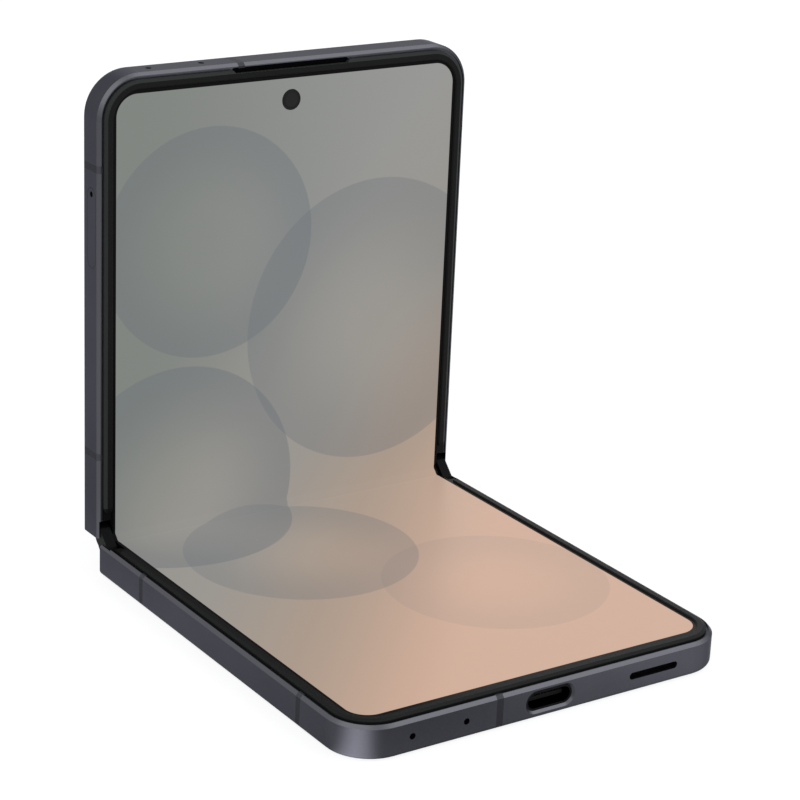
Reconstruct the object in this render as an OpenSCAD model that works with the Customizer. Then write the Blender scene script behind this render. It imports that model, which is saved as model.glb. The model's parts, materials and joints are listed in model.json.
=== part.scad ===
// Clamshell folding phone, drawn half open.
// Each half is modelled once in a "half frame": x across, y away from the fold
// line, z from the back (0) to the screen (half_t). The spine is modelled in the
// frame of the phone lying flat, with the fold line on y = 0.

/* [Body] */
// Width across the phone
body_w = 75.2; // [70:0.1:82]
// Length of one half, from the fold line to its far end
half_l = 83.35; // [80:0.05:92]
// Thickness of one half, from its back to the screen surface
half_t = 6.2; // [6:0.05:7]
// Corner radius at the far end of each half
corner_r = 7.8; // [6:0.1:10]
// Rounding of the frame's back edge
back_round = 1; // [0.6:0.1:1.2]
// Width of the polished chamfer round the front of the frame
chamfer_w = 0.5; // [0.3:0.05:0.55]
// Height of the polished chamfer
chamfer_h = 0.57; // [0.3:0.01:0.8]
// Depth of the frame's front rim below the screen surface
rim_drop = 0.28; // [0.1:0.02:0.4]
// Thickness of the rear glass
cover_t = 0.65; // [0.5:0.05:0.8]
// Width of the metal rim that frames the rear glass
cover_rim = 0.9; // [0.8:0.05:1.2]
// Thickness of the frame's side walls
wall = 2.4; // [2.2:0.1:3]
// Thickness of the metal deck under the screen
deck_t = 0.85; // [0.6:0.05:1]

/* [Screen] */
// Thickness of the folding screen
panel_t = 0.35; // [0.3:0.01:0.45]
// Thickness of the steel plate that backs the screen
plate_t = 0.2; // [0.15:0.01:0.3]
// Distance from the frame's side to the edge of the screen
panel_inset = 2.75; // [2.6:0.05:3.2]
// Length of the free screen on each side of the fold line
free_l = 4; // [3.6:0.1:5]
// Height of the raised bezel above the screen
bezel_rise = 0.3; // [0.1:0.05:0.5]
// Distance from the frame's side to the bezel's outer foot
bezel_inset = 1.05; // [0.9:0.05:1.2]
// Width of the slope on the bezel's outer side
bezel_slope = 0.55; // [0.3:0.05:0.8]
// Distance from the fold line to the raised end of the bezel
bezel_start = 5; // [4.6:0.05:6]
// Radius of the corners at the bezel's raised ends
bezel_end_r = 0.6; // [0.3:0.05:0.7]
// Depth of the bezel's low tails below the screen surface
tail_drop = 0.25; // [0.1:0.05:0.3]
// Radius of the camera opening in the screen
selfie_r = 1.9; // [1.5:0.1:2.2]
// Distance of the camera opening from the far end
selfie_end = 7.26; // [6.6:0.05:9]
// Length of the earpiece slot
earpiece_l = 24; // [16:0.1:30]
// How far the earpiece slot cuts into the bezel
earpiece_w = 0.62; // [0.4:0.02:0.7]

/* [Fold] */
// Angle that each fold axis has turned from flat
fold_each = 45; // [20:1:80]
// Distance of each fold axis from the fold line
axis_out = 0.75; // [0.7:0.01:0.85]
// Height of the fold axes above the screen surface
axis_up = 0; // [-0.05:0.01:0.05]
// Gap between each half's end and the fold line
end_gap = 0.1; // [0.05:0.01:0.2]
// Wall left behind the hinge in each half
hinge_wall = 0.95; // [0.85:0.05:1.1]
// Clearance between the spine and the halves
hinge_clear = 0.15; // [0.1:0.01:0.2]
// Depth of the hinge cover below the screen surface
cover_drop = 3.15; // [3.1:0.05:3.4]
// Depth of the hinge cover's edges below the screen surface
cover_edge = 1.35; // [1.3:0.01:1.45]
// Thickness of the hinge cover
spine_wall = 0.45; // [0.35:0.01:0.5]
// Distance from the frame's side to the end of the hinge cover
spine_inset = 2.6; // [2.5:0.1:3.2]
// Distance from the frame's side to the outer face of the fold's end caps
cap_inset = 0.5; // [0.45:0.05:1]
// Height of the end caps above the screen surface
cap_rise = 0.5; // [0.3:0.05:0.6]

/* [Hinge gears] */
// Teeth on each gear
teeth = 10; // [10:2:12]
// Pitch radius of the gears
gear_r = 0.7; // [0.66:0.01:0.72]
// Width of the gears
gear_w = 2.6; // [2:0.1:2.8]
// Depth of the middle shafts below the screen surface
idler_drop = 1.6; // [1.55:0.01:1.65]
// Depth of the outer shafts below the screen surface
arm_drop = 1.45; // [1.42:0.01:1.5]
// Radius of the gear shafts
shaft_r = 0.28; // [0.2:0.01:0.32]
// Running clearance on the shafts
shaft_clear = 0.03; // [0.02:0.01:0.05]
// Reach of each timing arm from its shaft to its pin
arm_reach = 8; // [7.6:0.1:8.4]
// Radius of the timing arm's pin
pin_r = 0.25; // [0.2:0.01:0.3]
// Clearance of the pin in its curved slot
slot_clear = 0.07; // [0.05:0.01:0.1]
// Inner radius of the arc rails
rail_in = 1.3; // [1.25:0.01:1.4]
// Outer radius of the arc rails
rail_out = 2; // [1.9:0.01:2.05]
// Clearance of the arc rails in the hinge bases
rail_clear = 0.1; // [0.06:0.01:0.12]
// Distance of the hinge bases from the phone's middle
base_x = 12; // [10:0.5:13]

/* [Sockets and keys] */
// Height of the edge sockets above the back
port_z = 3; // [2.8:0.05:3.2]
// Outer width of the charging socket
usb_w = 8.94; // [8.9:0.01:9]
// Outer height of the charging socket
usb_h = 3.16; // [3.1:0.01:3.2]
// Depth of the charging socket
usb_depth = 7.3; // [6.5:0.1:8]
// Length of the loudspeaker slot
speaker_l = 10; // [7:0.1:12]
// Height of the loudspeaker slot
speaker_h = 1.25; // [1:0.05:1.6]
// Distance of the loudspeaker slot from the middle
speaker_x = 21.1; // [19:0.1:23]
// Radius of the microphone holes
mic_r = 0.55; // [0.4:0.05:0.7]
// Distance from the frame's side to the outer microphone
mic_side = 11; // [10:0.1:12]
// Distance between the two microphones
mic_gap = 10.2; // [8:0.1:11]
// Length of the card tray's face
tray_l = 14.1; // [13.6:0.1:16]
// Height of the card tray's face
tray_h = 2.9; // [2.6:0.1:3]
// Height of the card tray above the back
tray_z = 3.45; // [3.4:0.01:3.5]
// Distance from the half's far end to the card tray
tray_end = 19.6; // [19:0.1:21]
// Radius of the tray's eject hole
eject_r = 0.5; // [0.35:0.01:0.6]
// Distance of the eject hole from the end of the tray's face
eject_end = 1.1; // [1:0.05:1.6]
// Width of the tray's carrier
carrier_w = 12.8; // [12:0.1:13]
// Reach of the carrier in from the frame's side
carrier_l = 12.4; // [11.5:0.1:13.5]
// Height of the side keys
key_h = 2.2; // [1.8:0.1:2.6]
// Height of the side keys above the frame's side
key_rise = 0.35; // [0.2:0.05:0.5]
// Length of the power key
power_l = 13; // [10:0.5:15]
// Length of the volume key
volume_l = 19; // [15:0.5:21]
// Distance of the power key's middle from the far end
power_end = 47.05; // [46:0.05:50]
// Distance of the volume key's middle from the far end
volume_end = 28.55; // [27:0.05:29]
// Clearance round the side keys and the card tray
key_clear = 0.12; // [0.08:0.01:0.2]
// Width of the antenna bands
band_w = 1.3; // [0.8:0.1:2]
// Distance of the antenna bands from the far ends
band_end = 16; // [14:0.1:18]
// Distance of the antenna bands from the fold line
band_near = 15.5; // [13.5:0.1:17]
// Distance of the end antenna band from the middle
band_x = 10; // [9:0.1:11.5]

/* [Rear cameras] */
// Outer radius of the camera rings
ring_r = 6.6; // [6:0.1:7]
// Radius of the camera glasses
lens_r = 5; // [4.5:0.1:5.3]
// Height of the camera rings above the rear glass
ring_rise = 0.9; // [0.5:0.1:1]
// Distance of the outer camera from the middle
camera_x = 26; // [25.5:0.1:26.5]
// Distance between the two cameras
camera_gap = 16.5; // [15.5:0.1:17]
// Distance of the cameras from the far end
camera_end = 12.4; // [12:0.1:13]

/* [Inside] */
// Length of the room for the board in the lower half
lower_board_l = 21; // [20.5:0.5:24]
// Length of the room for the board in the upper half
upper_board_l = 36; // [34:0.5:38]
// Distance from the frame's side to the batteries
battery_inset = 6.6; // [6:0.1:8]
// Width of the charging coil's winding
coil_w = 11; // [8:0.5:14]
// Width of each camera's housing
camera_w = 10; // [9:0.1:10.4]
// Width of the vibration motor
motor_w = 9.3; // [8:0.1:10]
// Width of each shield on the main board
shield_w = 18; // [16:0.5:19]

/* [Hidden] */
$fn = 64;
e = 0.01;
hw = body_w / 2;
rim_z = half_t - rim_drop;
deck_top = half_t - panel_t - plate_t;
deck_bot = deck_top - deck_t;
rest_y = half_l / 2;
axis_z = half_t + axis_up;
lower_axis = [0, -axis_out, axis_z];
upper_axis = [0, axis_out, axis_z];
rim_in = chamfer_w + 0.15;
cavity_r = axis_z - hinge_wall;
reach = cavity_r - hinge_clear;
spine_x = hw - spine_inset;
cavity_x = spine_x + 0.3;
cover_hw = axis_out + sqrt(pow(reach, 2) - pow(cover_edge, 2)) - 0.1;
cover_sag = cover_drop - cover_edge;
cover_r = (pow(cover_hw, 2) + pow(cover_sag, 2)) / (2 * cover_sag);
cover_c = half_t - cover_drop + cover_r;
cover_start = 2.2;
spine_end = 1.2;
end_round = hinge_wall - 0.05;
rim_round = 0.3;
pocket_start = 14;
pocket_end = half_l - wall;
pocket_x = hw - wall;
glue = 0.05;
battery_r = 2;
shield_r = 1;
inner_z = cover_t + glue;

// Spine and gears
idler_s = gear_r;
outer_s = idler_s + sqrt(pow(2 * gear_r, 2) - pow(idler_drop - arm_drop, 2));
tooth_size = 2 * gear_r / teeth;
tip_r = gear_r + 0.85 * tooth_size;
root_r = gear_r - 1.1 * tooth_size;
notch_r = 2.6;
cap_in = spine_x + 0.05;
cap_out = hw - cap_inset;
cap_r = notch_r - hinge_clear;
cap_top_y = 1.9;
rail_w = 4;
rail_x = [base_x + 1, base_x + 5.5];
gear_x = base_x + 10.5;
cheek_x = gear_x + gear_w + 0.4;
cheek_t = 0.8;
spring_x = cheek_x + 0.3;
disc_pitch = 0.9;
base_x1 = spine_x - spine_end - 0.8;

// Brackets and the timing arms' curved slots
plate_start = axis_out + 0.45;
bracket_x1 = cheek_x + cheek_t;
bracket_y0 = 6.3;
bracket_y1 = outer_s + arm_reach + 0.9;
bracket_z = half_t - 2.95;
bracket_screw_x = [rail_x[1] + 1.2, rail_x[1] + 3.2];
bracket_screw_y = bracket_y0 + 3.2;
pin_up = 0.2;
slot_r = norm([outer_s - axis_out, arm_drop + axis_up]);
slot_mid = [axis_out + arm_reach, axis_z + pin_up];
slot_a0 = atan2(-arm_drop - axis_up, outer_s - axis_out);
arm_top = deck_top - 0.15;
arm_bot = half_t - cover_edge + 0.2;

// Lower half
mic_x = [mic_side - hw, mic_side + mic_gap - hw];
battery_x = hw - battery_inset;
battery_y0 = pocket_start + 2;
board_y0 = pocket_end - lower_board_l;
battery_end = board_y0 - 1;
coil_r = (battery_end - battery_y0) / 2 - 1.5;
motor_x = 0.3 - pocket_x;

// Upper half
main_y0 = pocket_end - upper_board_l;
board_z = [inner_z + 1.2, inner_z + 1.9];
shield_x = [-1 - shield_w, 1];
tray_y = half_l - tray_end - tray_l / 2;
power_y = half_l - power_end;
volume_y = half_l - volume_end;
camera_y = half_l - camera_end;
camera_xs = [camera_x, camera_x - camera_gap];
flash_x = camera_x - camera_gap - ring_r - 4;
selfie_y = half_l - selfie_end;
reader_w = carrier_w + 0.4;
key_wall = 1.4;
flange_t = 0.35;
flange_w = 0.8;
rock_play = 0.3;

// ---- Where the bodies stand ----

module turned_about(p, a) { translate(p) rotate([a, 0, 0]) translate(-p) children(); }
module at_flat() { translate([0, rest_y, 0]) children(); }
module at_spine() { at_flat() turned_about(lower_axis, fold_each) children(); }
module in_lower() { at_flat() mirror([0, 1, 0]) children(); }
module in_upper() { at_spine() turned_about(upper_axis, fold_each) children(); }

// ---- Shared shapes ----

function arc_points(c, r, a0, a1, n) =
    [for (i = [0:n]) let (a = a0 + (a1 - a0) * i / n) [c[0] + r * cos(a), c[1] + r * sin(a)]];

// A box between two corners
module block(a, b) { translate(a) cube(b - a); }

// A box between two corners whose upright edges are rounded
module rounded_block(a, b, r) {
    block([a[0] + r, a[1], a[2]], [b[0] - r, b[1], b[2]]);
    block([a[0], a[1] + r, a[2]], [b[0], b[1] - r, b[2]]);
    for (x = [a[0] + r, b[0] - r], y = [a[1] + r, b[1] - r])
        translate([x, y, a[2]]) cylinder(r = r, h = b[2] - a[2]);
}

// A box between two values on each axis, where y may come in either order
module between(x0, x1, y0, y1, z0, z1) {
    block([x0, min(y0, y1), z0], [x1, max(y0, y1), z1]);
}

// A cylinder along x between x0 and x1, centred on y and z
module rod(r, x0, x1, y, z) {
    translate([x0, y, z]) rotate([0, 90, 0]) cylinder(r = r, h = x1 - x0);
}

// A bar with round ends that stands on z = 0: l long in x, h high in y, t thick
module stadium(l, h, t) {
    translate([-l / 2 + h / 2, -h / 2, 0]) cube([l - h, h, t]);
    for (s = [-1, 1]) translate([s * (l - h) / 2, 0, 0]) cylinder(d = h, h = t);
}

// A stadium on the far end face, reaching inward from y = half_l + 1
module end_stadium(l, h, x, z, depth) {
    translate([x, half_l + 1, z]) rotate([90, 0, 0]) stadium(l, h, depth + 1);
}

// A stadium on a side face, reaching inward from 1 outside the face
module side_stadium(side, l, h, y, z, depth) {
    translate([side * (hw + 1), y, z]) rotate([90, 0, side * -90]) stadium(l, h, depth + 1);
}

// The outline of a half, in from its sides and far end by inset, from y0 on
module half_block(inset, y0, z0, z1, far = 0) {
    r = corner_r - inset;
    x = hw - inset;
    y = half_l - inset - far;
    block([-x, y0, z0], [x, y - r, z1]);
    block([r - x, y0, z0], [x - r, y, z1]);
    for (s = [-1, 1]) translate([s * (x - r), y - r, z0]) cylinder(r = r, h = z1 - z0);
}

// An edge section swept round a half's two sides and far end; the section's
// x is the distance out from a line that lies "back" inside the outer face
module swept_edge(back, y0) {
    x = hw - corner_r;
    y = half_l - corner_r;
    for (s = [0, 1]) mirror([s, 0, 0]) {
        translate([x, y, 0]) rotate_extrude(angle = 90) translate([corner_r - back, 0]) children();
        translate([hw - back, y, 0]) rotate([90, 0, 0]) linear_extrude(y - y0) children();
    }
    translate([-x, half_l - back, 0]) rotate([90, 0, 90]) linear_extrude(2 * x) children();
}

// The frame's outer form: round back edge, chamfered front rim
module frame_solid() {
    edge = concat([[0, 0]],
        arc_points([corner_r - back_round, back_round], back_round, -90, 0, 8),
        [[corner_r, rim_z - chamfer_h], [corner_r - chamfer_w, rim_z], [0, rim_z]]);
    intersection() {
        union() {
            swept_edge(corner_r, end_gap) polygon(edge);
            block([-hw + corner_r - e, end_gap, 0], [hw - corner_r + e, half_l - corner_r + e, rim_z]);
        }
        rotate([90, 0, 90]) translate([0, 0, -hw - 1]) linear_extrude(body_w + 2) polygon(concat(
            arc_points([end_gap + end_round, end_round], end_round, -90, -180, 6),
            arc_points([end_gap + rim_round, rim_z - rim_round], rim_round, 180, 90, 3),
            [[half_l + 1, rim_z + 1], [half_l + 1, 0]]));
    }
}

// The blocks where plastic bands cross the metal wall: side, distance
module band_blocks(end_side) {
    depth = cover_rim - 0.05;
    for (s = [-1, 1], y = [band_near, half_l - band_end])
        block([s > 0 ? hw - depth : -hw - 1, y - band_w / 2, -1],
            [s > 0 ? hw + 1 : depth - hw, y + band_w / 2, half_t]);
    block([end_side * band_x - band_w / 2, half_l - depth, -1],
        [end_side * band_x + band_w / 2, half_l + 1, half_t]);
}

module antenna_bands(end_side) {
    intersection() {
        frame_solid();
        band_blocks(end_side);
    }
}

// What both frames share: recesses for glass and screen, hinge room, pocket
module frame_blank(end_side) {
    difference() {
        frame_solid();
        band_blocks(end_side);
        half_block(cover_rim, cover_start, -1, inner_z);
        half_block(wall, pocket_start, 0, deck_bot);
        half_block(rim_in, -1, deck_top, half_t + 1);
        rod(cavity_r, -cavity_x, cavity_x, axis_out, axis_z);
        for (s = [0, 1]) mirror([s, 0, 0]) {
            rod(notch_r, cavity_x - 1, cap_out + hinge_clear, axis_out, axis_z);
            block([base_x + 0.6, 4, bracket_z - glue], [bracket_x1 + 0.6, bracket_y1 + 0.4, half_t]);
        }
    }
}

module rear_glass() { half_block(cover_rim + glue, cover_start + glue, 0, cover_t); }

// What a corner of the bezel's raised end loses when it is rounded in plan;
// out is 1 for the corner towards the frame's side and -1 for the other
module bezel_corner(x, out) {
    r = bezel_end_r;
    translate([x - max(out, 0) * r, bezel_start, 0]) difference() {
        block([0, -e, half_t - tail_drop], [r, r, half_t + 1]);
        translate([out < 0 ? r : 0, r, 0]) cylinder(r = r, h = half_t + 2);
    }
}

// The raised black bezel, with low tails beside the fold
module bezel() {
    top = half_t + bezel_rise;
    width = panel_inset - glue - bezel_inset;
    section = [[0, deck_top], [width, deck_top], [width, half_t], [width - bezel_slope, top],
        [width * 0.15, top], [0, half_t + bezel_rise * 0.3]];
    inner_x = hw - panel_inset + glue;
    outer_x = hw - bezel_inset;
    difference() {
        swept_edge(panel_inset - glue, bezel_start) polygon(section);
        for (s = [0, 1]) mirror([s, 0, 0]) {
            bezel_corner(inner_x, -1);
            bezel_corner(outer_x, 1);
        }
    }
    for (s = [0, 1]) mirror([s, 0, 0])
        block([inner_x, notch_r + axis_out + 0.1, deck_top], [outer_x, bezel_start + e, half_t - tail_drop]);
}

module screen_half() { half_block(panel_inset, free_l + 0.02, half_t - panel_t, half_t); }
module screen_plate() { half_block(panel_inset + 0.25, plate_start, deck_top, half_t - panel_t); }

// ---- Hinge: spine ----

// Where the four gears stand in the flat phone: [y, depth below the screen]
gear_yz = [[-outer_s, half_t - arm_drop], [-idler_s, half_t - idler_drop],
    [idler_s, half_t - idler_drop], [outer_s, half_t - arm_drop]];

function bearing(i) = atan2(gear_yz[i + 1][1] - gear_yz[i][1], gear_yz[i + 1][0] - gear_yz[i][0]);

// Each gear's tooth angle follows from the gear before it, in mesh on the line of centres
function tooth_angle(i) = i == 0 ? bearing(0)
    : 2 * bearing(i - 1) + 180 - tooth_angle(i - 1) - 180 / teeth;

function gear_points(turn) = [for (i = [0:teeth - 1], p = [[root_r, -0.36], [gear_r, -0.21],
    [tip_r, -0.1], [tip_r, 0.1], [gear_r, 0.21], [root_r, 0.36]])
    let (a = turn + (i + p[1]) * 360 / teeth) [p[0] * cos(a), p[0] * sin(a)]];

// Gear i on its place in the flat phone, without its bore
module gear_blank(i) {
    translate([gear_x, gear_yz[i][0], gear_yz[i][1]]) rotate([90, 0, 90])
        linear_extrude(gear_w) polygon(gear_points(tooth_angle(i)));
}

module shaft_bore(i, r) { rod(r, gear_x - 1, gear_x + gear_w + 1, gear_yz[i][0], gear_yz[i][1]); }

// Turns gear i from the flat phone to the drawn position
module turned_gear(i) {
    at_spine() turned_about([0, gear_yz[i][0], gear_yz[i][1]], i % 2 == 0 ? -fold_each : fold_each) children();
}

module idler(i) {
    difference() {
        gear_blank(i);
        shaft_bore(i, shaft_r + shaft_clear);
    }
}

// A gear with a flat arm that carries a pin into the half's curved slot
module timing_arm(i) {
    s = i == 0 ? -1 : 1;
    y0 = gear_yz[i][0];
    pin_y = y0 + s * arm_reach;
    pin_z = gear_yz[i][1] + pin_up;
    x1 = gear_x + gear_w;
    difference() {
        union() {
            gear_blank(i);
            between(gear_x, x1, y0 + s * 0.5, pin_y, arm_bot, arm_top);
            between(gear_x, x1, y0 + s * 0.25, y0 + s * 1.3, gear_yz[i][1] - 0.4, arm_bot + 0.05);
            rod(0.4, gear_x, x1, pin_y, pin_z);
            rod(pin_r, x1 - e, cheek_x + cheek_t, pin_y, pin_z);
        }
        shaft_bore(i, shaft_r + shaft_clear);
    }
}

// The thin curved back of the hinge, a channel closed at both ends
module spine_cover() {
    difference() {
        intersection() {
            rod(cover_r, -spine_x, spine_x, 0, cover_c);
            block([-spine_x, -cover_hw, 0], [spine_x, cover_hw, half_t - cover_edge]);
        }
        rod(cover_r - spine_wall, spine_end - spine_x, spine_x - spine_end, 0, cover_c);
    }
}

// One hinge base: rail seats, gear room and spring room in one block
module hinge_base() {
    top = half_t - 0.65;
    side = cover_hw - 1.15;
    step = half_t - cover_edge + 0.05;
    difference() {
        intersection() {
            rod(cover_r - spine_wall - 0.02, base_x, base_x1, 0, cover_c);
            block([base_x, -side, 0], [base_x1, side, top]);
        }
        for (i = [0, 1]) {
            s = 2 * i - 1;
            x0 = rail_x[i] - 0.15;
            x1 = rail_x[i] + rail_w + 0.15;
            difference() {
                rod(rail_out + rail_clear, x0, x1, s * axis_out, axis_z);
                rod(rail_in - rail_clear, x0 - 1, x1 + 1, s * axis_out, axis_z);
            }
            block([x0, s > 0 ? rail_in + axis_out - 0.1 : -side - 1, arm_bot - 0.1],
                [x1, s > 0 ? side + 1 : 0.1 - rail_in - axis_out, half_t]);
        }
        block([gear_x - 0.2, -outer_s - 1.45, 0], [gear_x + gear_w + 0.2, outer_s + 1.45, half_t]);
        block([gear_x - 0.2, -side - 1, step], [gear_x + gear_w + 0.2, side + 1, half_t]);
        for (s = [-1, 1])
            block([spring_x, s * outer_s - 1, half_t - arm_drop - 1], [base_x1 - 1.6, s * outer_s + 1, half_t]);
        for (p = gear_yz) rod(shaft_r, gear_x - 0.7, base_x1 - 0.8, p[0], p[1]);
    }
}

module shafts() {
    for (p = gear_yz) rod(shaft_r, gear_x - 0.7, base_x1 - 0.8, p[0], p[1]);
}

// Stacks of spring discs that give the fold its friction
module spring_discs() {
    n = floor((base_x1 - 1.7 - spring_x) / disc_pitch);
    for (s = [-1, 1], i = [0:n - 1]) difference() {
        x = spring_x + 0.1 + i * disc_pitch;
        rod(0.7, x, x + disc_pitch - 0.2, s * outer_s, half_t - arm_drop, $fn = 24);
        rod(shaft_r, x - 1, x + disc_pitch, s * outer_s, half_t - arm_drop);
    }
}

// A black cap at one end of the fold: its underside is two arcs about the fold
// axes, so that it stays clear of both halves, and a foot joins it to the cover
module end_cap() {
    low = asin(axis_out / cap_r);
    side = half_t + 0.15;
    tip = asin((side - axis_z) / cap_r);
    right = concat(arc_points([axis_out, axis_z], cap_r, -90 - low, tip, 16), [[cap_top_y, half_t + cap_rise]]);
    left = [for (i = [len(right) - 1:-1:1]) [-right[i][0], right[i][1]]];
    rotate([90, 0, 90]) translate([0, 0, cap_in + 0.1]) linear_extrude(cap_out - cap_in - 0.1)
        polygon(concat(right, left));
    block([spine_x - spine_end, -2, half_t - cover_edge], [cap_in + 0.1 + e, 2, deck_top - 0.1]);
}

// ---- Hinge: halves ----

// A half's bracket: an arc rail about the fold axis, a foot and a slotted cheek
module bracket(i) {
    x0 = rail_x[i];
    x1 = x0 + rail_w;
    difference() {
        union() {
            translate([x0, axis_out, axis_z]) rotate([0, 90, 0]) rotate_extrude(angle = 120, start = -55)
                translate([rail_in, 0]) square([rail_out - rail_in, rail_w]);
            block([x0, axis_out + rail_in, arm_bot], [x1, bracket_y0 + 1.6, arm_top]);
            block([x0, bracket_y0, bracket_z], [x1, bracket_y0 + 1.6, arm_top]);
            block([x0, bracket_y0, bracket_z], [bracket_x1, bracket_y1, bracket_z + 0.35]);
            block([cheek_x, bracket_y0, bracket_z], [bracket_x1, bracket_y1, arm_top + 0.1]);
        }
        curved_slot();
        for (x = bracket_screw_x) translate([x, bracket_screw_y, 0]) cylinder(r = 0.5, h = half_t);
    }
}

// The path of the timing arm's pin, seen from the half
module curved_slot() {
    w = pin_r + slot_clear;
    over = asin((w + 0.05) / slot_r);
    translate([cheek_x - 1, slot_mid[0], slot_mid[1]]) rotate([0, 90, 0])
        rotate_extrude(angle = 90 + 2 * over, start = slot_a0 - over)
            translate([slot_r - w, 0]) square([2 * w, cheek_t + 2]);
}

module bracket_screws() {
    for (m = [0, 1], x = bracket_screw_x) mirror([m, 0, 0]) translate([x, bracket_screw_y, 0]) {
        translate([0, 0, bracket_z - 1.2]) cylinder(r = 0.5, h = 1.6);
        translate([0, 0, bracket_z + 0.35]) cylinder(r = 0.85, h = 0.5);
    }
}

// Threaded holes in the frame for those screws
module bracket_screw_holes() {
    for (m = [0, 1], x = bracket_screw_x) mirror([m, 0, 0])
        translate([x, bracket_screw_y, bracket_z - 1.2]) cylinder(r = 0.5, h = 2);
}

// ---- Lower half ----

module lower_frame() {
    color("#42424c") in_lower() difference() {
        frame_blank(-1);
        bracket_screw_holes();
        end_stadium(usb_w + 0.1, usb_h + 0.1, 0, port_z, usb_depth);
        usb_flare();
        end_stadium(speaker_l, speaker_h, speaker_x, port_z, wall + 1);
        for (x = mic_x) translate([x, half_l + 1, port_z]) rotate([90, 0, 0]) cylinder(r = mic_r, h = wall + 2);
    }
}

// The flared mouth of the charging socket
module usb_flare() {
    for (s = [-1, 1]) translate([s * (usb_w - usb_h) / 2, half_l + e, port_z]) rotate([90, 0, 0])
        cylinder(r1 = usb_h / 2 + 0.45, r2 = usb_h / 2 + 0.05, h = 0.4);
    translate([(usb_h - usb_w) / 2, 0, port_z]) rotate([90, 0, 90]) linear_extrude(usb_w - usb_h)
        polygon([[half_l + e, -usb_h / 2 - 0.45], [half_l + e, usb_h / 2 + 0.45],
            [half_l - 0.39, usb_h / 2 + 0.05], [half_l - 0.39, -usb_h / 2 - 0.05]]);
}

module lower_antenna_bands() { color("#37383f") in_lower() antenna_bands(-1); }
module lower_rear_cover() { color("#2c2f38") in_lower() rear_glass(); }
module lower_bezel() { color("#17181a") in_lower() bezel(); }
module lower_screen() { color("#d0ab98") in_lower() screen_half(); }
module lower_screen_plate() { color("#8f9396") in_lower() screen_plate(); }

module lower_battery() {
    color("#2b2b2e") in_lower()
        rounded_block([-battery_x, battery_y0, inner_z + 0.4], [battery_x, battery_end, deck_bot], battery_r);
}

module charging_coil() {
    color("#b87333") in_lower() translate([0, (battery_y0 + battery_end) / 2, inner_z]) difference() {
        cylinder(r = coil_r, h = 0.4);
        translate([0, 0, -1]) cylinder(r = coil_r - coil_w, h = 3);
    }
}

module charging_board() {
    color("#1f5a3a") in_lower() difference() {
        half_block(wall + 0.3, board_y0, port_z - 0.4, port_z + 0.4);
        end_stadium(usb_w + 0.4, usb_h + 0.4, 0, port_z, usb_depth + 0.4);
        block([speaker_x - 8, board_y0 + 2, 0], [hw, half_l, half_t]);
        block([-hw, board_y0 + 2, 0], [motor_x + motor_w + 0.3, board_y0 + 12.6, half_t]);
        for (x = mic_x) block([x - 1.8, pocket_end - 3.2, 0], [x + 1.8, half_l, half_t]);
    }
}

module usb_port() {
    color("#9a9da0") in_lower() difference() {
        intersection() {
            end_stadium(usb_w, usb_h, 0, port_z, usb_depth);
            block([-hw, 0, 0], [hw, half_l - 0.45, half_t]);
        }
        end_stadium(usb_w - 0.6, usb_h - 0.6, 0, port_z, usb_depth - 0.8);
    }
}

module usb_tongue() {
    color("#101113") in_lower()
        block([-3.35, half_l - usb_depth + 0.8, port_z - 0.35], [3.35, half_l - 1.5, port_z + 0.35]);
}

module loudspeaker() {
    near = [speaker_x - 7.7, board_y0 + 2.3, inner_z];
    color("#26272a") in_lower() union() {
        block(near, [pocket_x - 0.2, pocket_end - corner_r + wall, deck_bot]);
        block(near, [speaker_x + speaker_l / 2 + 0.4, pocket_end, deck_bot]);
    }
}

module loudspeaker_mesh() {
    color("#0c0c0d") in_lower() intersection() {
        end_stadium(speaker_l, speaker_h, speaker_x, port_z, 1.6);
        block([0, half_l - 1.5, 0], [hw, half_l - 0.9, half_t]);
    }
}

module bottom_microphones() {
    color("#c9a24b") in_lower() for (x = mic_x)
        rounded_block([x - 1.5, pocket_end - 2.9, port_z - 1], [x + 1.5, pocket_end, port_z + 1], 0.4);
}

module vibration_motor() {
    color("#8a8d90") in_lower()
        rounded_block([motor_x, board_y0 + 2.4, inner_z], [motor_x + motor_w, board_y0 + 12.2, deck_bot], 1);
}

module lower_hinge_bracket_left() { color("#85888c") in_lower() mirror([1, 0, 0]) bracket(0); }
module lower_hinge_bracket_right() { color("#85888c") in_lower() bracket(0); }
module lower_screws() { color("#9da0a3") in_lower() bracket_screws(); }

// ---- Spine ----

module hinge_cover() { color("#4a4b55") at_spine() spine_cover(); }
module hinge_base_left() { color("#6f7276") at_spine() mirror([1, 0, 0]) hinge_base(); }
module hinge_base_right() { color("#6f7276") at_spine() hinge_base(); }
module hinge_shafts() { color("#b9bcbf") at_spine() for (m = [0, 1]) mirror([m, 0, 0]) shafts(); }
module friction_springs() { color("#aeb1b4") at_spine() for (m = [0, 1]) mirror([m, 0, 0]) spring_discs(); }
module hinge_end_caps() { color("#141416") at_spine() for (m = [0, 1]) mirror([m, 0, 0]) end_cap(); }
module lower_timing_arm_left() { color("#7b7e82") turned_gear(0) mirror([1, 0, 0]) timing_arm(0); }
module lower_timing_arm_right() { color("#7b7e82") turned_gear(0) timing_arm(0); }
module upper_timing_arm_left() { color("#7b7e82") turned_gear(3) mirror([1, 0, 0]) timing_arm(3); }
module upper_timing_arm_right() { color("#7b7e82") turned_gear(3) timing_arm(3); }
module lower_idler_left() { color("#94979a") turned_gear(1) mirror([1, 0, 0]) idler(1); }
module lower_idler_right() { color("#94979a") turned_gear(1) idler(1); }
module upper_idler_left() { color("#94979a") turned_gear(2) mirror([1, 0, 0]) idler(2); }
module upper_idler_right() { color("#94979a") turned_gear(2) idler(2); }

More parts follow.
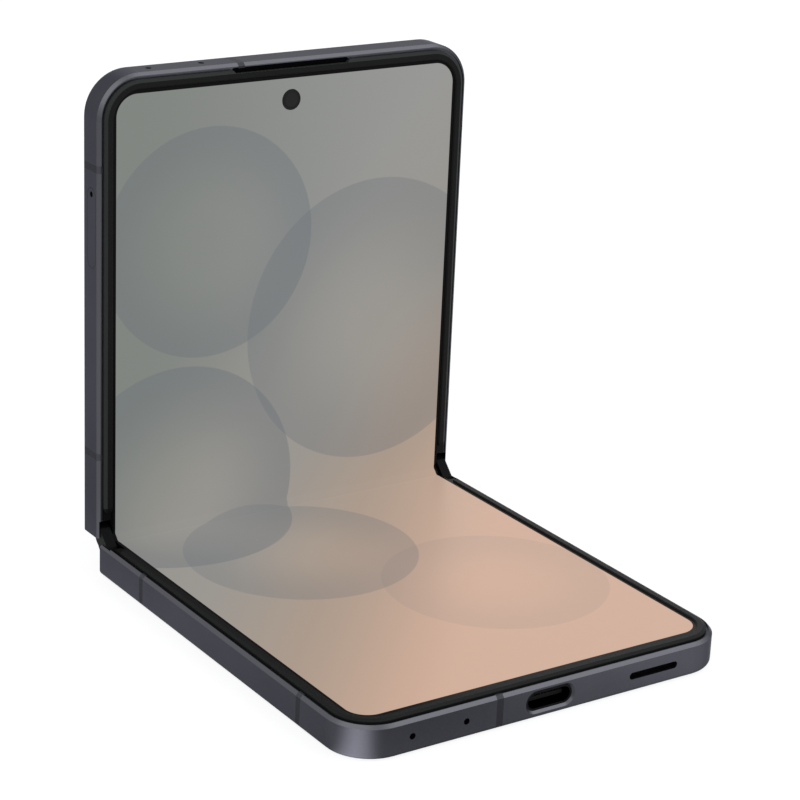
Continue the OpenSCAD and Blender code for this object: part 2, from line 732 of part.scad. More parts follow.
// The flexible circuits that cross the hinge, lying in the hinge cover
module hinge_flex() {
    color("#b5762c") at_spine() intersection() {
        difference() {
            rod(cover_r - spine_wall, -8, 8, 0, cover_c);
            rod(cover_r - spine_wall - 0.15, -9, 9, 0, cover_c);
        }
        for (s = [-1, 1]) block([s * 4.5 - 3, -3.5, 0], [s * 4.5 + 3, 3.5, half_t]);
    }
}

// The free part of the screen: an arc between two short flat runs. One face of it has the radius r.
function fold_face(r, lead) = concat(
    [[-r * sin(fold_each) - lead * cos(fold_each), lead * sin(fold_each) - r * cos(fold_each)]],
    arc_points([0, 0], r, -90 - fold_each, -90 + fold_each, 24),
    [[r * sin(fold_each) + lead * cos(fold_each), lead * sin(fold_each) - r * cos(fold_each)]]
);
function reversed(list) = [for (i = [len(list) - 1:-1:0]) list[i]];
module fold_screen() {
    x = hw - panel_inset;
    film = panel_t - 0.02;
    bend = axis_up + axis_out / tan(fold_each / 2);
    lead = free_l - 2 * axis_out;
    color("#a8a49c") at_spine() translate([-x, 0, half_t + bend]) rotate([90, 0, 90]) linear_extrude(2 * x)
        polygon(concat(fold_face(bend, lead), reversed(fold_face(bend + film, lead))));
}

// ---- Upper half ----

module upper_frame() {
    color("#42424c") in_upper() difference() {
        frame_blank(-1);
        bracket_screw_holes();
        side_stadium(-1, tray_l + 0.12, tray_h + 0.12, tray_y, tray_z, 1.15);
        translate([-hw, tray_y, tray_z])
            block([0, -carrier_w / 2 - 0.3, -0.5], [hw, carrier_w / 2 + 0.3, 0.5]);
        for (k = [[power_y, power_l], [volume_y, volume_l]]) {
            side_stadium(1, k[1] + 2 * key_clear, key_h + 2 * key_clear, k[0], port_z, wall + 0.5);
            block(
                [pocket_x - 1, k[0] - k[1] / 2 - flange_w - 0.4, port_z - key_h / 2 - 0.7],
                [hw - key_wall, k[0] + k[1] / 2 + flange_w + 0.4, port_z + key_h / 2 + 0.7]
            );
        }
        for (x = mic_x) translate([x, half_l + 1, port_z]) rotate([90, 0, 0]) cylinder(r = mic_r, h = wall + 2);
        translate([0, selfie_y, 0]) cylinder(r = selfie_r + 0.3, h = half_t);
        translate([0, half_l - (rim_in + 0.1 + bezel_inset + earpiece_w) / 2, deck_bot - e])
            stadium(earpiece_l - 0.4, bezel_inset + earpiece_w - rim_in - 0.1, half_t);
    }
}

module upper_antenna_bands() { color("#37383f") in_upper() antenna_bands(-1); }

module upper_rear_cover() {
    color("#2c2f38") in_upper() difference() {
        rear_glass();
        for (x = camera_xs) translate([x, camera_y, -1]) cylinder(r = ring_r + glue, h = 3);
        translate([flash_x, camera_y, -1]) cylinder(r = 2.2 + glue, h = 3);
    }
}

module cover_display() {
    color("#0d0e10") in_upper() difference() {
        half_block(wall + 0.3, pocket_start + 0.5, cover_t, cover_t + 0.5);
        block([flash_x - 3, camera_y - ring_r - 0.5, 0], [hw, half_l, half_t]);
    }
}

module upper_bezel() {
    color("#17181a") in_upper() difference() {
        bezel();
        translate([0, half_l - bezel_inset, 0]) linear_extrude(half_t + 2) polygon([
            [-earpiece_l / 2, 0.1], [earpiece_l / 2, 0.1],
            [earpiece_l / 2 - 0.7, -earpiece_w], [0.7 - earpiece_l / 2, -earpiece_w]]);
    }
}

module upper_screen() {
    color("#87898a") in_upper() difference() {
        screen_half();
        translate([0, selfie_y, 0]) cylinder(r = selfie_r, h = half_t + 1);
    }
}

module upper_screen_plate() {
    color("#8f9396") in_upper() difference() {
        screen_plate();
        translate([0, selfie_y, 0]) cylinder(r = selfie_r + 0.3, h = half_t + 1);
    }
}

module upper_battery() {
    color("#2b2b2e") in_upper()
        rounded_block([-battery_x, battery_y0, cover_t + 0.5], [battery_x, main_y0 - 1, deck_bot], battery_r);
}

module main_board() {
    color("#1f5a3a") in_upper() difference() {
        half_block(wall + 0.3, main_y0, board_z[0], board_z[1]);
        for (x = camera_xs) translate([x, camera_y, half_t / 2])
            cube([camera_w + 0.6, camera_w + 0.6, half_t], true);
        block([-3.4, selfie_y - 3.4, 0], [3.4, selfie_y + 3.4, half_t]);
        block([pocket_x - 1.6, power_y - power_l / 2 - 2, 0], [hw, volume_y + volume_l / 2 + 2, half_t]);
    }
}

module board_shields() {
    color("#a9acaf") in_upper() union() {
        for (x = shield_x) rounded_block([x, main_y0 + 2, board_z[1]],
            [x + shield_w, camera_y - 8, board_z[1] + 1.2], shield_r);
        rounded_block([shield_x[0], main_y0 + 1.6, inner_z + 0.45],
            [shield_x[1] + shield_w, main_y0 + 12, board_z[0]], shield_r);
    }
}

// A camera: square housing with a round barrel behind the glass
module camera(x, barrel) {
    side = camera_w / 2;
    translate([x, camera_y, 0]) {
        rounded_block([-side, -side, inner_z + 0.1], [side, side, deck_bot], 1.2);
        translate([0, 0, 0.7 - ring_rise]) cylinder(r = barrel, h = inner_z + ring_rise);
    }
}

module wide_camera() { color("#1b1c1f") in_upper() camera(camera_xs[0], 3.6); }
module ultrawide_camera() { color("#1b1c1f") in_upper() camera(camera_xs[1], 3.1); }

module camera_rings() {
    color("#5a5b66") in_upper() for (x = camera_xs) translate([x, camera_y, -ring_rise]) rotate_extrude()
        polygon([[lens_r + glue, 0], [ring_r - 0.3, 0], [ring_r, 0.3], [ring_r, ring_rise + inner_z],
            [lens_r - 0.7, ring_rise + inner_z], [lens_r - 0.7, 0.6], [lens_r + glue, 0.6]]);
}

module camera_glasses() {
    color("#08090c") in_upper() for (x = camera_xs)
        translate([x, camera_y, 0.15 - ring_rise]) cylinder(r = lens_r, h = 0.45);
}

module flash_lens() {
    color("#e8e2c8") in_upper() translate([flash_x, camera_y, 0]) union() {
        cylinder(r = 2.2, h = cover_t);
        block([-1.4, -1.4, cover_t], [1.4, 1.4, board_z[0]]);
    }
}

module selfie_camera() {
    color("#06070a") in_upper() translate([0, selfie_y, 0]) union() {
        translate([0, 0, deck_bot - e]) cylinder(r = selfie_r - 0.04, h = half_t - deck_bot);
        rounded_block([-3, -3, board_z[1]], [3, 3, deck_bot], 0.8);
    }
}

module earpiece() {
    color("#26272a") in_upper()
        rounded_block([4.2, pocket_end - 4.8, board_z[1]], [11.5, pocket_end, deck_bot], 0.8);
}

module top_microphones() {
    color("#c9a24b") in_upper() for (x = mic_x)
        rounded_block([x - 1.5, pocket_end - 2.9, board_z[1]], [x + 1.5, pocket_end, board_z[1] + 1.4], 0.4);
}

// The card tray: a face flush with the frame, an eject hole and an open carrier
module sim_tray() {
    color("#454650") in_upper() difference() {
        union() {
            intersection() {
                side_stadium(-1, tray_l, tray_h, tray_y, tray_z, 1.1);
                block([-hw, 0, 0], [0, half_l, half_t]);
            }
            translate([-hw, tray_y, tray_z])
                block([1.1 - e, -carrier_w / 2, -0.4], [carrier_l, carrier_w / 2, 0.4]);
        }
        translate([-hw, tray_y, tray_z]) {
            block([2.4, 0.8 - carrier_w / 2, -0.3], [carrier_l - 1, carrier_w / 2 - 2, 1]);
            block([3, 1.4 - carrier_w / 2, -1], [carrier_l - 1.6, carrier_w / 2 - 2.6, 1]);
        }
        rod(eject_r, -hw - 1, -hw + 3, tray_y + tray_l / 2 - eject_end, tray_z);
    }
}

// The steel cage on the board that the tray slides into
module sim_reader() {
    color("#b4b7ba") in_upper() difference() {
        translate([0, tray_y, 0]) block([-pocket_x + 0.1, -reader_w / 2 - 0.8, board_z[1]],
            [-hw + carrier_l + 1.2, reader_w / 2 + 0.8, tray_z + 0.75]);
        translate([-hw, tray_y, tray_z]) block([0, -reader_w / 2, -0.5], [carrier_l + 0.6, reader_w / 2, 0.5]);
    }
}

// A side key: the head that a finger meets and the flange that holds it in
module side_key(l, play) {
    back = key_wall + play;
    translate([hw - back - e, 0, 0]) rotate([90, 0, 90]) stadium(l, key_h, back + key_rise + e);
    block([hw - back - flange_t, -l / 2 - flange_w, -key_h / 2 - 0.4],
        [hw - back, l / 2 + flange_w, key_h / 2 + 0.4]);
}
module power_key() {
    color("#3c3d47") in_upper() translate([0, power_y, port_z]) side_key(power_l, 0.05);
}

module volume_key() {
    color("#464751") in_upper() translate([0, volume_y, port_z]) side_key(volume_l, rock_play);
}

// The strip of switches behind the side keys
module key_switches() {
    color("#c07a2c") in_upper() union() {
        block([pocket_x - 1, power_y - power_l / 2, port_z - 1],
            [pocket_x - 0.6, volume_y + volume_l / 2, port_z + 1]);
        for (y = [power_y, volume_y - volume_l / 4, volume_y + volume_l / 4])
            rod(0.7, pocket_x - 0.7, pocket_x + 0.05, y, port_z);
    }
}

module upper_hinge_bracket_left() { color("#85888c") in_upper() mirror([1, 0, 0]) bracket(1); }
module upper_hinge_bracket_right() { color("#85888c") in_upper() bracket(1); }
module upper_screws() { color("#9da0a3") in_upper() bracket_screws(); }

lower_frame();
lower_antenna_bands();
lower_rear_cover();
lower_bezel();
lower_screen();
lower_screen_plate();
lower_battery();
charging_coil();
charging_board();
usb_port();
usb_tongue();
loudspeaker();
loudspeaker_mesh();
bottom_microphones();
vibration_motor();
lower_hinge_bracket_left();
lower_hinge_bracket_right();
lower_screws();
hinge_cover();
hinge_base_left();
hinge_base_right();
hinge_shafts();
lower_timing_arm_left();
lower_timing_arm_right();
upper_timing_arm_left();
upper_timing_arm_right();
lower_idler_left();
lower_idler_right();
upper_idler_left();
upper_idler_right();
friction_springs();
hinge_end_caps();
hinge_flex();
fold_screen();
upper_frame();
upper_antenna_bands();
upper_rear_cover();
cover_display();
upper_bezel();
upper_screen();
upper_screen_plate();
upper_battery();
main_board();
board_shields();
wide_camera();
ultrawide_camera();
camera_rings();
camera_glasses();
flash_lens();
selfie_camera();
earpiece();
top_microphones();
sim_tray();
sim_reader();
power_key();
volume_key();
key_switches();
upper_hinge_bracket_left();
upper_hinge_bracket_right();
upper_screws();
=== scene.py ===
"""A clamshell folding phone, opened to a right angle: its finishes, its lit screen and the studio."""
import json
import math

import bmesh
import bpy
from mathutils import Matrix, Vector


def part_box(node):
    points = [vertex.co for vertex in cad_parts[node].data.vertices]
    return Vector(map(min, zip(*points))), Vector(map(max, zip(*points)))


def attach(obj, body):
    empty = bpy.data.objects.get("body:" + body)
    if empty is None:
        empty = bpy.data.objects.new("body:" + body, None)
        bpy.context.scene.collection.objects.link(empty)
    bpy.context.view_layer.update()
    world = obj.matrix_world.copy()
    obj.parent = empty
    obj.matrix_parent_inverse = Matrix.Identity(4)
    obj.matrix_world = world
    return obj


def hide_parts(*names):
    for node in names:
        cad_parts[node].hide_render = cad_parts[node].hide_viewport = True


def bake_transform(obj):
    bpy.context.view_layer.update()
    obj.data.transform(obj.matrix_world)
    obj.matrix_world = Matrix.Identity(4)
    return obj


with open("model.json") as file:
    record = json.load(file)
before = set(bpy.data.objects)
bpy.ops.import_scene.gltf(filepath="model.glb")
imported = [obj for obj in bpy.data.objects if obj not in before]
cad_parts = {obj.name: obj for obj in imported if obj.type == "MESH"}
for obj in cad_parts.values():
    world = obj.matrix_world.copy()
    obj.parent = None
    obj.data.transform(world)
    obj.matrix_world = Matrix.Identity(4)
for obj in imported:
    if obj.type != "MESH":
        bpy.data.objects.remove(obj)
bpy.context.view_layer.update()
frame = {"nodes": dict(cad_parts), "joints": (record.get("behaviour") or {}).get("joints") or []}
NODES = frame["nodes"]
JOINTS = {joint["name"]: joint for joint in frame["joints"]}
MM = 0.001

# The fold: the two joint axes, seen along X, and the screen's plane on each half
LOWER_AXIS = Vector(JOINTS["lower_fold"]["pos_m"])
UPPER_AXIS = Vector(JOINTS["upper_fold"]["pos_m"])
SCREEN_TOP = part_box("lower_screen")[1].z
SCREEN_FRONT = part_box("upper_screen")[0].y
SCREEN_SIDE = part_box("lower_screen")[1].x
HALF_SPINE = (UPPER_AXIS - LOWER_AXIS).length / 2
REST_TURN = math.radians(45)
FOLD_THICKNESS = 0.33 * MM
FOLD_ROWS = 40
FOLD_SOLVER_STEPS = 40

# The two halves: their far ends, and which way is out of the screen and out of the far end
LOWER_LEFT, LOWER_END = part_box("lower_frame")[0].x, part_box("lower_frame")[0].y
UPPER_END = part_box("upper_frame")[1].z
UP = {"lower": Vector((0, 0, 1)), "upper": Vector((0, -1, 0))}
OUT = {"lower": Vector((0, -1, 0)), "upper": Vector((0, 0, 1))}
ACROSS = Vector((1, 0, 0))

# The lit picture's outline, measured along the screen from the middle of the fold
PICTURE_SIDE = 34.3 * MM
PICTURE_BORDER = {"lower": 3.68 * MM, "upper": 3.4 * MM}
PICTURE_FAR = {
    "lower": -(LOWER_AXIS.y - LOWER_END + HALF_SPINE - PICTURE_BORDER["lower"]),
    "upper": UPPER_END - UPPER_AXIS.z + HALF_SPINE - PICTURE_BORDER["upper"],
}
PICTURE_CORNER = 3.9 * MM
PICTURE_GLOW = 0.96

FRAME_COLOUR = (0.056, 0.057, 0.068)
FRAME_CORNER = 7.8 * MM
# The paler colour painted on the frames' chamfers as their highlight
CHAMFER_HIGHLIGHT_COLOUR = (0.098, 0.099, 0.112)
EDGE_TINT = (0.46, 0.46, 0.47)
BAND_COLOUR = (0.034, 0.034, 0.040)
# The paler colour painted on the bands' chamfers as their highlight
BAND_CHAMFER_HIGHLIGHT = (0.068, 0.069, 0.078)
BEZEL_COLOUR = (0.0045, 0.0048, 0.0047)
# The bezel's painted highlight on its outer slope and its painted shade by the fold, as shares of its colour
SLOPE_HIGHLIGHT_SHARE = {"lower": 1.6, "upper": 5.8}
FOLD_SHADE_SHARE = 0.2
BORDER_COLOUR = (0.004, 0.004, 0.0045)
SOLDER_MASK = (0.02, 0.085, 0.05)
BLACK = (0.0, 0.0, 0.0)
WHITE = (1.0, 1.0, 1.0)

# The wallpaper: its corners' and middle's colours, and its discs as (middle across, middle along
# the screen, radius, darkness, softness of the rim), in mm
TOP_LEFT = (0.225, 0.240, 0.222)
TOP_RIGHT = (0.318, 0.320, 0.314)
MIDDLE = (0.330, 0.315, 0.290)
WARM = (0.420, 0.330, 0.265)
PEACH = (0.640, 0.425, 0.320)
SLATE = (0.150, 0.170, 0.190)
DISCS = [
    (-16.0, 52.0, 21.0, 0.42, 16.0),
    (19.0, 33.0, 27.0, 0.36, 24.0),
    (-22.0, 6.0, 24.0, 0.46, 20.0),
    (-8.0, -20.0, 21.0, 0.32, 19.0),
    (15.0, -47.0, 20.0, 0.12, 18.0),
]
WALLPAPER_TILT = -1.1
DISC_EDGE = 0.25

# Openings in the frames, and what shows in them
PORT_DEPTH = 3.2 * MM
MICROPHONES = (-26.6 * MM, -16.4 * MM)
# Black sleeves lining the microphone holes: dark parts that stand in for the holes' shade
MICROPHONE_SHADE_SLEEVE = [(0.545, 0, 0), (0.51, 0, 0), (0.51, -1.7, 0), (0.545, -1.7, 0), (0.545, 0, 0)]
SHADE_SLEEVE_INSET = 0.06 * MM
SHADE_SLEEVE_SEGMENTS = 32
MICROPHONE_MESH = (1.08 * MM, 1.06 * MM, 0.2 * MM, 0.06 * MM)
MESH_INSET = 0.5 * MM
EARPIECE_MESH = (23.5 * MM, 0.88 * MM, 0.22 * MM, 0.07 * MM)
EARPIECE_INSET, EARPIECE_DEPTH = 1.21 * MM, 0.62 * MM
LOUDSPEAKER_PITCH, LOUDSPEAKER_WIRE = 0.25 * MM, 0.07 * MM
LOUDSPEAKER_GAP, LOUDSPEAKER_PROUD = 0.04 * MM, 0.12 * MM
CONTACTS = 12
CONTACT_PITCH = 0.5 * MM
CONTACT_LENGTH, CONTACT_WIDTH, CONTACT_HEIGHT = 1.9 * MM, 0.28 * MM, 0.03 * MM
CONTACT_INSET, CONTACT_RISE = 2.7 * MM, 0.36 * MM

# The charging coil
COIL_TURNS = 20
COIL_STEPS = 40
COIL_WIRE = 0.38 * MM
COIL_WIDTH = 10.2 * MM

# The lenses, in mm. A barrel's steps are (share of the way from the front element to the mask's
# edge, share of the depth, material): mask 0, barrel 1, element 2
BARREL_STEPS = [
    (1.0, -0.5, 0), (1.0, -0.04, 0), (0.97, 0.0, 0), (0.62, 0.0, 1), (0.56, -0.45, 1), (0.38, -0.45, 0),
    (0.34, -0.7, 1), (0.16, -0.7, 0), (0.12, -0.95, 1), (0.0, -1.0, 2),
]
DOME_STEPS = 8
DOME_HEIGHT = 0.8
SELFIE_RADIUS, SELFIE_DEPTH, SELFIE_PUPIL, SELFIE_BACK = 1.84, 0.04, 0.74, -0.06
SELFIE_INSET, SELFIE_PROUD = 7.26 * MM, 0.05 * MM
CAMERA_DEPTH, CAMERA_BACK = 0.4, -0.44
CAMERA_PUPILS = (0.3, 0.42)
FLASH_RINGS = 6
FLASH_BACK, FLASH_CREST, FLASH_VALLEY, FLASH_MIDDLE = -0.1, 0.06, 0.015, 0.05

CREASE_ANGLE = math.radians(30)
FOLD_CREASE_ANGLE = math.radians(40)
WELD = 0.0005 * MM

# The studio: the softboxes' place, size and power, in metres and watts
SOFTBOXES = {
    "key_softbox": ((-0.9, -0.3, 1.1), 1.5, 6.0),
    "fill_softbox": ((0.75, -0.45, 1.1), 1.2, 5.5),
    "back_softbox": ((0.6, 0.95, 0.5), 0.9, 2.6),
}
AIM = Vector((0, 0.02, 0.03))
SKY_FILL = (0.93, 0.95, 1.0)
SKY_FILL_STRENGTH = 0.62
FLOOR_RADIUS = 3.0
FLOOR_DROP = 0.02 * MM
FLOOR_GLOW = 0.86
FLOOR_SHADOW = (0.2, 0.2, 0.2)

# Dark cards in the glossy sky: towards, cosine at the rim, cosine where it is full, how dark
DARK_CARDS = [
    ((0.417, 0.855, 0.309), 0.955, 0.998, 0.3),
    ((0.824, 0.566, 0.0), 0.788, 0.985, 0.5),
]

# Ramps of the floor's brightness in glossy surfaces: from, to, value at from, value at to
CORNER_SHADE = (15 * MM, 75 * MM, 0.5, 1.0)
WEDGE_MIDDLE = math.radians(51)
WEDGE_ACROSS = (0.0, math.radians(40), 3.9, 0.0)
WEDGE_OUTWARD = (25 * MM, 60 * MM, 1.0, 0.0)
FRONT_LIFT = (-18 * MM, 30 * MM, -0.6, 0.68)
FRONT_REACH = (LOWER_END - 30 * MM, LOWER_END + 10 * MM, 1.0, 0.0)
FOLDWARD_LIFT = (-75 * MM, -10 * MM, 0.1, 0.58)
FOLDWARD_REACH = (-90 * MM, -40 * MM, 0.0, 1.0)
BEHIND_FALL = (12 * MM, 40 * MM, 0.0, -0.62)
BEHIND_RISE = (70 * MM, 130 * MM, 0.0, 0.88)
BEHIND_REACH = (-60 * MM, -30 * MM, 1.0, 0.0)
FAR_RIGHT_WAY = (0.824, 0.566)
FAR_RIGHT_FALL = (45 * MM, 110 * MM, 1.0, 0.3)

# The camera, solved from the photograph
CAMERA_PLACE = (-226.4 * MM, -325.2 * MM, 182.5 * MM)
CAMERA_AZIMUTH = -34.479
CAMERA_ELEVATION = 19.760
CAMERA_ROLL = 2.492
CAMERA_LENS = 113.07
CAMERA_SENSOR = 36.0
CAMERA_NEAR = 0.01


def on_half(half, x, inset, depth):
    """A place on a half: its distance in from the far end and its depth below the screen."""
    if half == "lower":
        return Vector((x, LOWER_END + inset, SCREEN_TOP - depth))
    return Vector((x, SCREEN_FRONT + depth, UPPER_END - inset))


class Graph:
    """A material's or world's node tree, with one short method for each kind of node in use."""

    def __init__(self, name, world=False):
        self.owner = (bpy.data.worlds if world else bpy.data.materials).new(name)
        self.owner.use_nodes = True
        self.tree = self.owner.node_tree
        self.tree.nodes.clear()
        self.output = self.tree.nodes.new("ShaderNodeOutputWorld" if world else "ShaderNodeOutputMaterial")

    def set(self, socket, value):
        if isinstance(value, bpy.types.NodeSocket):
            self.tree.links.new(value, socket)
        elif isinstance(value, (tuple, list, Vector)):
            wanted = len(socket.default_value)
            socket.default_value = (tuple(value) + (1.0,))[:wanted]
        else:
            socket.default_value = value

    def node(self, kind, inputs=None, out=0, **settings):
        made = self.tree.nodes.new("ShaderNode" + kind)
        for key, value in settings.items():
            setattr(made, key, value)
        for key, value in (inputs or {}).items():
            self.set(made.inputs[key], value)
        return made.outputs[out]

    def math(self, operation, *values):
        return self.node("Math", dict(enumerate(values)), operation=operation)

    def vector(self, operation, *values, out=0):
        return self.node("VectorMath", dict(enumerate(values)), out, operation=operation)

    def step(self, value, low, high, start=0.0, end=1.0, smooth=True):
        """Goes from start to end as the value goes from low to high."""
        kind = "SMOOTHSTEP" if smooth else "LINEAR"
        inputs = {"Value": value, "From Min": low, "From Max": high, "To Min": start, "To Max": end}
        return self.node("MapRange", inputs, interpolation_type=kind)

    def mix(self, share, first, second):
        made = self.tree.nodes.new("ShaderNodeMix")
        made.data_type = "RGBA"
        self.set(made.inputs[0], share)
        self.set(made.inputs[6], first)
        self.set(made.inputs[7], second)
        return made.outputs[2]

    def mix_value(self, share, first, second):
        return self.step(share, 0.0, 1.0, first, second, smooth=False)

    def mottled(self, noise, colour, low, high):
        """The colour, scaled from low to high by a noise."""
        return self.mix(self.step(noise, 0.3, 0.7), scaled(colour, low), scaled(colour, high))

    def uneven(self, noise, middle, spread):
        """A roughness that a noise moves from its middle by spread each way."""
        return self.step(noise, 0.2, 0.8, middle - spread, middle + spread)

    def place(self):
        return self.node("TexCoord", out="Object")

    def split(self, vector):
        made = self.tree.nodes.new("ShaderNodeSeparateXYZ")
        self.set(made.inputs[0], vector)
        return made.outputs[0], made.outputs[1], made.outputs[2]

    def length(self, across, along):
        return self.vector("LENGTH", self.node("CombineXYZ", {0: across, 1: along}), out="Value")

    def noise(self, scale, detail=3.0, vector=None, roughness=0.5):
        inputs = {"Scale": scale, "Detail": detail, "Roughness": roughness}
        inputs["Vector"] = self.place() if vector is None else vector
        return self.node("TexNoise", inputs)

    def bump(self, height, depth, strength):
        return self.node("Bump", {"Height": height, "Distance": depth, "Strength": strength})

    def facing(self, up):
        """How far the surface faces the direction up, in the piece's own space."""
        return self.vector("DOT_PRODUCT", self.node("TexCoord", out="Normal"), up, out="Value")

    def chamfer(self, up):
        """1 where the surface slopes as a chamfer below a face that looks up, 0 elsewhere."""
        facing = self.facing(up)
        return self.math("MULTIPLY", self.step(facing, 0.3, 0.5), self.step(facing, 0.98, 0.85))

    def rounded_window(self, across, along, half_across, half_along, corner, soft):
        """1 inside a rounded rectangle about the origin and 0 outside, over an edge this soft."""
        over_across = self.math("ADD", self.math("ABSOLUTE", across), corner - half_across)
        over_along = self.math("ADD", self.math("ABSOLUTE", along), corner - half_along)
        out = self.length(self.math("MAXIMUM", over_across, 0.0), self.math("MAXIMUM", over_along, 0.0))
        return self.step(out, corner + soft, corner - soft)

    def ray_kinds(self):
        """The light path's outputs, and 1 for each ray that shows the background."""
        path = self.tree.nodes.new("ShaderNodeLightPath").outputs
        shown = self.math("MAXIMUM", path["Is Camera Ray"], path["Is Glossy Ray"])
        return path, self.math("MAXIMUM", shown, path["Is Transmission Ray"])

    def finish(self, **inputs):
        """Ends a material in a Principled shader with these sockets."""
        shader = self.tree.nodes.new("ShaderNodeBsdfPrincipled")
        for key, value in inputs.items():
            self.set(shader.inputs[key.replace("_", " ")], value)
        self.tree.links.new(shader.outputs[0], self.output.inputs[0])
        return self.owner


def scaled(colour, factor):
    return tuple(channel * factor for channel in colour)


# ---- Materials. Noise scales are in cells per metre. ----

def anodised(name, up, chamfer=CHAMFER_HIGHLIGHT_COLOUR):
    """Bead-blasted and anodised aluminium, with its chamfer painted paler as a highlight."""
    g = Graph(name)
    cloud = g.noise(90, 4)
    grain = g.noise(14000, 2)
    # Painted highlight: the chamfer, found by its slope, takes a paler colour
    chamfer_highlight = g.chamfer(up)
    plain = g.mottled(cloud, FRAME_COLOUR, 0.93, 1.06)
    speckled = g.mix(g.step(grain, 0.35, 0.75), plain, scaled(FRAME_COLOUR, 1.3))
    polish = g.math("MULTIPLY", chamfer_highlight, -0.08)
    return g.finish(
        Base_Color=g.mix(chamfer_highlight, speckled, chamfer), Metallic=1.0, Specular_Tint=EDGE_TINT,
        Roughness=g.math("ADD", g.uneven(grain, 0.41, 0.05), polish),
        Normal=g.bump(grain, 0.004 * MM, 0.5),
    )


def plastic(name, colour, roughness=0.45, grain=9000, depth=0.004 * MM, specular=0.5):
    """Moulded plastic with a fine spark-eroded grain."""
    g = Graph(name)
    texture = g.noise(grain, 2)
    return g.finish(
        Base_Color=g.mottled(g.noise(140, 3), colour, 0.9, 1.25),
        Roughness=g.uneven(texture, roughness, 0.06),
        Specular_IOR_Level=specular, Normal=g.bump(texture, depth, 0.6),
    )


def band_plastic(name, up):
    """The moulded antenna breaks, dyed to the metal, with their chamfer painted paler as a highlight."""
    g = Graph(name)
    texture = g.noise(9000, 2)
    shade = g.mottled(texture, BAND_COLOUR, 0.92, 1.08)
    return g.finish(
        # Painted highlight: the chamfer, found by its slope, takes the paler colour
        Base_Color=g.mix(g.chamfer(up), shade, BAND_CHAMFER_HIGHLIGHT), Roughness=g.uneven(texture, 0.51, 0.05),
        Specular_IOR_Level=0.02, Normal=g.bump(texture, 0.003 * MM, 0.5),
    )


def metal(name, colour, roughness=0.35, along=None):
    """Bare metal with a sintered grain, or brushed along one axis."""
    g = Graph(name)
    stretch = {None: (1, 1, 1), "X": (0.03, 1, 1), "Y": (1, 0.03, 1)}[along]
    lines = g.noise(5000, 3, g.vector("MULTIPLY", g.place(), stretch))
    tone = g.mottled(g.noise(260, 4), colour, 0.85, 1.08)
    return g.finish(
        Base_Color=g.mix(g.step(lines, 0.3, 0.7), tone, scaled(colour, 0.9)), Metallic=1.0,
        Roughness=g.uneven(lines, roughness, 0.08), Normal=g.bump(lines, 0.003 * MM, 0.6),
    )


def rear_glass(name, colour, roughness, coat=0.35):
    """Toughened glass over a dark film, etched to a satin finish."""
    g = Graph(name)
    etch = g.noise(12000, 2)
    return g.finish(
        Base_Color=g.mottled(g.noise(60, 3), colour, 0.92, 1.08),
        Roughness=g.uneven(etch, roughness, 0.04),
        Coat_Weight=coat, Coat_Roughness=0.12, Normal=g.bump(etch, 0.002 * MM, 0.4),
    )


def cover_glass(name):
    """Polished black glass, blacker where the cover display lies under it."""
    g = Graph(name)
    low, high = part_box("cover_display")
    middle, half = (high + low) / 2, (high - low) / 2
    border, corner, soft = 1.5 * MM, 4 * MM, 0.05 * MM
    x, _, z = g.split(g.place())
    window = g.rounded_window(
        g.math("SUBTRACT", x, middle.x), g.math("SUBTRACT", z, middle.z),
        half.x - border, half.z - border, corner, soft)
    return g.finish(
        Base_Color=g.mix(window, (0.010, 0.010, 0.0115), (0.0035, 0.0035, 0.0045)),
        Roughness=g.step(g.noise(45, 4), 0.3, 0.7, 0.06, 0.12),
        Specular_IOR_Level=0.25, Normal=g.bump(g.noise(900, 2), 0.0004 * MM, 0.2),
    )


def bezel(name, half):
    """The screen's raised rim: black elastomer, with a painted highlight on its outer slope and painted shade
    by the fold.
    """
    g = Graph(name)
    grain = g.noise(11000, 2)
    x, y, z = g.split(g.place())
    sideways = g.math("MULTIPLY", g.facing((1, 0, 0)), g.math("SIGN", x))
    outward = g.math("MAXIMUM", sideways, g.facing(OUT[half]))
    # Painted highlight: the slope that faces outward is greyer
    shade = g.mix(g.step(outward, 0.1, 0.3), BEZEL_COLOUR, scaled(BEZEL_COLOUR, SLOPE_HIGHLIGHT_SHARE[half]))
    if half == "lower":
        away = g.math("SUBTRACT", LOWER_AXIS.y, y)
    else:
        away = g.math("SUBTRACT", z, UPPER_AXIS.z)
    # Painted shade: the rim turns near black by the fold
    fold_shade_mask = g.step(away, 5.2 * MM, 4.9 * MM)
    return g.finish(
        Base_Color=g.mix(fold_shade_mask, shade, scaled(BEZEL_COLOUR, FOLD_SHADE_SHARE)),
        Roughness=g.uneven(grain, 0.56, 0.06),
        Specular_IOR_Level=0.1, Normal=g.bump(grain, 0.003 * MM, 0.5),
    )


def board(name, flat_axes):
    """Solder mask over copper tracks, with rows of tinned pads."""
    g = Graph(name)
    place = g.vector("MULTIPLY", g.place(), flat_axes)
    tracks = g.node("TexWave", {
        "Vector": place, "Scale": 420, "Distortion": 9, "Detail": 2, "Detail Scale": 0.6})
    pads = g.node("TexVoronoi", {"Vector": place, "Scale": 620, "Randomness": 0.35})
    islands = g.step(g.noise(170, 1, place), 0.55, 0.57)
    pad = g.math("MULTIPLY", g.step(pads, 0.2, 0.17), islands)
    mask = g.mix(g.step(tracks, 0.45, 0.55), scaled(SOLDER_MASK, 0.75), scaled(SOLDER_MASK, 1.35))
    raised = g.math("ADD", g.math("MULTIPLY", g.step(tracks, 0.4, 0.6), 0.4), pad)
    return g.finish(
        Base_Color=g.mix(pad, mask, (0.62, 0.6, 0.52)), Metallic=g.math("MULTIPLY", pad, 0.9),
        Roughness=g.mix_value(pad, 0.32, 0.25), Normal=g.bump(raised, 0.02 * MM, 0.6),
    )


